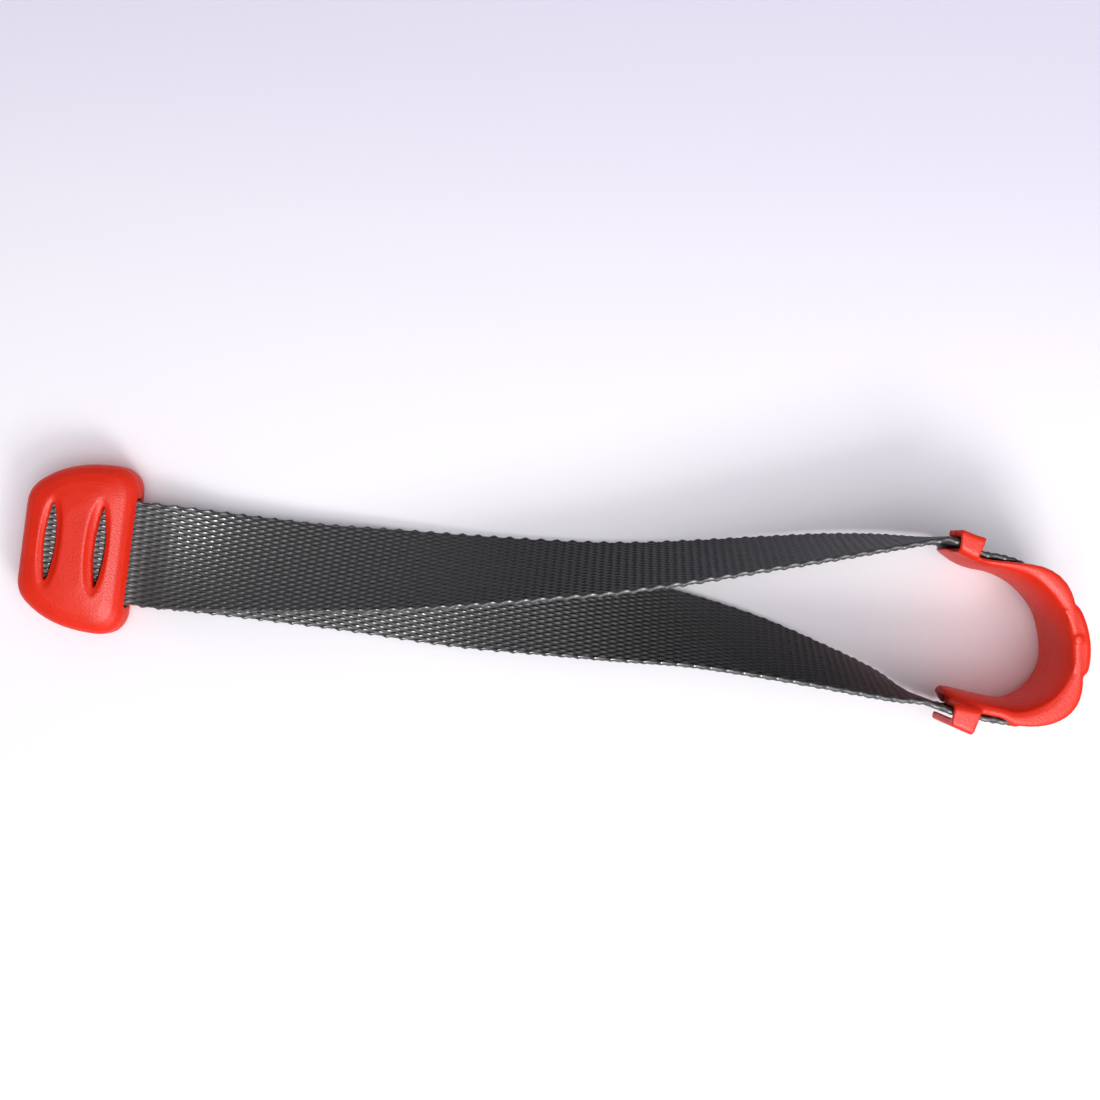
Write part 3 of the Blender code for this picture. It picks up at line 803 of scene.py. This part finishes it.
def weave_piece(name, look, settings, rows, sampled):
    """One stretch of the webbing between two rows, woven yarn by yarn on both faces."""
    spots, sides, fronts, run = sampled
    first, last = rows
    around = 2 * settings.warp_ends * STEPS_PER_YARN
    bm = bmesh.new()
    bmesh.ops.create_grid(bm, x_segments=last - first, y_segments=around, size=0.5)
    mesh = bpy.data.meshes.new(name)
    bm.to_mesh(mesh)
    bm.free()
    flat = np.empty(len(mesh.vertices) * 3)
    mesh.vertices.foreach_get("co", flat)
    flat = flat.reshape(-1, 3)
    row = np.round((flat[:, 0] + 0.5) * (last - first)).astype(int) + first
    ring = np.round((flat[:, 1] + 0.5) * around).astype(int)
    across, out, crown = weave_offsets(settings, row / ROWS_PER_PICK, ring)
    placed = spots[row] + sides[row] * across[:, None] + fronts[row] * out[:, None]
    mesh.vertices.foreach_set("co", placed.ravel())
    mask = mesh.attributes.new("crown", "FLOAT", "POINT")
    mask.data.foreach_set("value", crown.astype(np.float32))
    corner = np.empty(len(mesh.loops), int)
    mesh.loops.foreach_get("vertex_index", corner)
    layer = mesh.uv_layers.new(name="weave")
    layer.uv.foreach_set("vector", np.stack([run[row][corner], across[corner]], axis=1).ravel())
    bm = bmesh.new()
    bm.from_mesh(mesh)
    bpy.data.meshes.remove(mesh)
    bmesh.ops.remove_doubles(bm, verts=bm.verts, dist=MERGE_DISTANCE)
    for cap in bmesh.ops.holes_fill(bm, edges=bm.edges, sides=0)["faces"]:
        for edge in cap.edges:
            edge.smooth = False
    bmesh.ops.recalc_face_normals(bm, faces=bm.faces)
    piece = object_from(name, bm, look)
    return piece


class STRAPANCHOR_OT_webbing(bpy.types.Operator):
    """Weave the loop: in the block, out of its mouth, along both legs and round the cradle"""

    bl_idname = "strapanchor.webbing"
    bl_label = "Webbing"

    def execute(self, context):
        settings = context.scene.strap_webbing
        look = black_webbing(settings)
        frames, marks = webbing_frames()
        spots, sides, fronts, run, starts, count = resampled(frames, marks, settings.pick)
        names = sorted(starts, key=starts.get)
        ends = [starts[name] for name in names[1:]] + [count]
        for name, end in zip(names, ends):
            rows = (starts[name], end)
            piece = weave_piece(f"webbing_{name}", look, settings, rows, (spots, sides, fronts, run))
            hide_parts(f"strap_{name}")
            if name.startswith("mouth"):
                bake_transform(piece)
            elif name.startswith("leg"):
                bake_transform(piece)
            elif name.startswith("neck"):
                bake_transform(piece)
            elif name == "bight":
                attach(piece, "cradle")
            else:
                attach(piece, "stop_block")
        return {"FINISHED"}


# ---------------------------------------------------------------- stop block


class STRAPANCHOR_OT_stop_block(bpy.types.Operator):
    """Mould the stop block's two shells"""

    bl_idname = "strapanchor.stop_block"
    bl_label = "Stop block"

    def execute(self, context):
        settings = context.scene.strap_moulding
        look = red_moulding("red block moulding", settings.block_colour, settings.roughness)
        for name, node in (("block_top", "block_top_shell"), ("block_base", "block_base_shell")):
            piece = moulded_copy(name, node, look, settings, settings.block_rounds)
            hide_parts(node)
            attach(piece, "stop_block")
        return {"FINISHED"}


# ---------------------------------------------------------------- cradle


def moulding_marks(bm):
    """Adds the vestige of the gate on the rim and a small nub low on the outline."""
    gate = Matrix.Translation(Vector(GATE_PLACE) * MM)
    bmesh.ops.create_cone(
        bm,
        cap_ends=True,
        segments=20,
        radius1=GATE_RADII[0] * MM,
        radius2=GATE_RADII[1] * MM,
        depth=GATE_HEIGHT * MM,
        matrix=gate,
    )
    for crumb in range(GATE_CRUMBS):
        turn = Matrix.Rotation(math.radians(360 / GATE_CRUMBS * crumb + 20), 4, "Z")
        spot = gate @ turn @ Matrix.Translation(Vector((0.6 + 0.1 * (crumb % 3), 0.0, 0.3)) * MM)
        radius = (CRUMB_RADIUS + 0.06 * (crumb % 2)) * MM
        bmesh.ops.create_icosphere(bm, subdivisions=2, radius=radius, matrix=spot)
    nub = Matrix.Translation(Vector(NUB_PLACE) * MM) @ Matrix.Diagonal((*NUB_STRETCH, 1.0))
    bmesh.ops.create_icosphere(bm, subdivisions=2, radius=NUB_RADIUS * MM, matrix=nub)


def tear_edge(piece):
    """Roughens the hook's outer end, where the moulding is torn."""
    noise.seed_set(TEAR_SEED)
    for vertex in piece.data.vertices:
        place = vertex.co / MM
        if place.x < TORN_END_X and place.y > TORN_FROM_Y and place.z < TORN_BELOW_Z:
            near = smoothstep((TORN_END_X - place.x) / TEAR_FADE[0])
            near *= smoothstep((place.y - TORN_FROM_Y) / TEAR_FADE[1])
            jag = noise.noise_vector(place * TEAR_COARSE[0]) * TEAR_COARSE[1]
            jag += noise.noise_vector(place * TEAR_FINE[0]) * TEAR_FINE[1]
            vertex.co += jag * near * MM


class STRAPANCHOR_OT_cradle(bpy.types.Operator):
    """Mould the cradle with its hooks, its bridge and its gate mark"""

    bl_idname = "strapanchor.cradle"
    bl_label = "Cradle"

    def execute(self, context):
        settings = context.scene.strap_moulding
        look = red_moulding("red cradle moulding", settings.cradle_colour, settings.roughness)
        rounds = settings.cradle_rounds
        piece = moulded_copy("cradle_moulding", "cradle", look, settings, rounds, moulding_marks)
        tear_edge(piece)
        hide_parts("cradle")
        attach(piece, "cradle")
        return {"FINISHED"}


# ---------------------------------------------------------------- small parts


class STRAPANCHOR_OT_small_parts(bpy.types.Operator):
    """Finish the pin and the rows of tack stitching inside the block"""

    bl_idname = "strapanchor.small_parts"
    bl_label = "Pin and stitching"

    def execute(self, context):
        finishes = {"anchor_pin": brushed_steel()}
        thread = tack_thread()
        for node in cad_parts:
            if node.startswith("lap_tack"):
                finishes[node] = thread
        for node, look in finishes.items():
            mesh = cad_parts[node].data
            mesh.materials.clear()
            mesh.materials.append(look)
        return {"FINISHED"}


# ---------------------------------------------------------------- stage


def area_light(name, aim, offset, size, power, colour):
    """A square light at an offset from the point that it faces."""
    light = bpy.data.lights.new(name, "AREA")
    light.shape = "SQUARE"
    light.size = size
    light.energy = power
    light.color = colour
    made = bpy.data.objects.new(name, light)
    made.location = aim + Vector(offset)
    made.rotation_euler = (-Vector(offset)).to_track_quat("-Z", "Y").to_euler()
    bpy.context.scene.collection.objects.link(made)
    return made


class STRAPANCHOR_OT_stage(bpy.types.Operator):
    """Lay the pale floor, hang the soft lights and place the camera"""

    bl_idname = "strapanchor.stage"
    bl_label = "Stage"

    def execute(self, context):
        settings = context.scene.strap_stage
        low, high = (Vector(corner) for corner in cad_box)
        middle = (low + high) / 2
        bm = bmesh.new()
        bmesh.ops.create_grid(bm, x_segments=1, y_segments=1, size=FLOOR_REACH)
        bmesh.ops.translate(bm, verts=bm.verts, vec=(middle.x, middle.y, low.z))
        floor = object_from("floor", bm, floor_material(settings.floor_colour, settings.back_painted_shade_tint))
        area_light("key", middle, KEY_OFFSET, KEY_SIZE, settings.key_power, (1.0, 0.985, 0.98))
        white = (1.0, 1.0, 1.0)
        glint = area_light("glint", middle, GLINT_OFFSET, GLINT_SIZE, settings.glint_power, white)
        glint.visible_diffuse = False
        cool = (0.98, 0.97, 1.0)
        wide = area_light("overhead", middle, OVERHEAD_OFFSET, OVERHEAD_SIZE, settings.overhead_power, cool)
        wide.visible_glossy = False
        world = bpy.data.worlds.new("even light")
        context.scene.world = world
        world.use_nodes = True
        back = world.node_tree.nodes["Background"]
        back.inputs["Color"].default_value = (0.94, 0.91, 1.0, 1.0)
        back.inputs["Strength"].default_value = settings.world_strength
        world.cycles_visibility.glossy = False
        context.scene.view_settings.view_transform = "Standard"
        lens = bpy.data.cameras.new("camera")
        lens.lens = settings.lens
        lens.sensor_width = 36.0
        lens.clip_start = 0.01
        camera = bpy.data.objects.new("camera", lens)
        camera.location = (*CAMERA_PLACE, settings.camera_height)
        camera.rotation_euler = (0.0, 0.0, settings.turn)
        context.scene.collection.objects.link(camera)
        context.scene.camera = camera
        return {"FINISHED"}


# ---------------------------------------------------------------- add-on


class STRAPANCHOR_PT_panel(bpy.types.Panel):
    """Lists the steps that build the strap anchor"""

    bl_idname = "STRAPANCHOR_PT_panel"
    bl_label = "Strap Anchor"
    bl_space_type = "VIEW_3D"
    bl_region_type = "UI"
    bl_category = "Strap Anchor"

    def draw(self, context):
        for operator in OPERATORS:
            self.layout.operator(operator.bl_idname)
        for group in ("strap_webbing", "strap_moulding", "strap_stage"):
            settings = getattr(context.scene, group)
            for label in settings.__annotations__:
                self.layout.prop(settings, label)


SETTINGS = {
    "strap_webbing": WebbingSettings,
    "strap_moulding": MouldingSettings,
    "strap_stage": StageSettings,
}
OPERATORS = (
    STRAPANCHOR_OT_stage,
    STRAPANCHOR_OT_stop_block,
    STRAPANCHOR_OT_cradle,
    STRAPANCHOR_OT_webbing,
    STRAPANCHOR_OT_small_parts,
)


def register():
    for made in (*SETTINGS.values(), *OPERATORS, STRAPANCHOR_PT_panel):
        bpy.utils.register_class(made)
    for name, group in SETTINGS.items():
        setattr(bpy.types.Scene, name, PointerProperty(type=group))


def unregister():
    for name in SETTINGS:
        delattr(bpy.types.Scene, name)
    for made in reversed((*SETTINGS.values(), *OPERATORS, STRAPANCHOR_PT_panel)):
        bpy.utils.unregister_class(made)


def main():
    register()
    bpy.ops.strapanchor.stage()
    bpy.ops.strapanchor.stop_block()
    bpy.ops.strapanchor.cradle()
    bpy.ops.strapanchor.webbing()
    bpy.ops.strapanchor.small_parts()


if __name__ == "__main__":
    main()
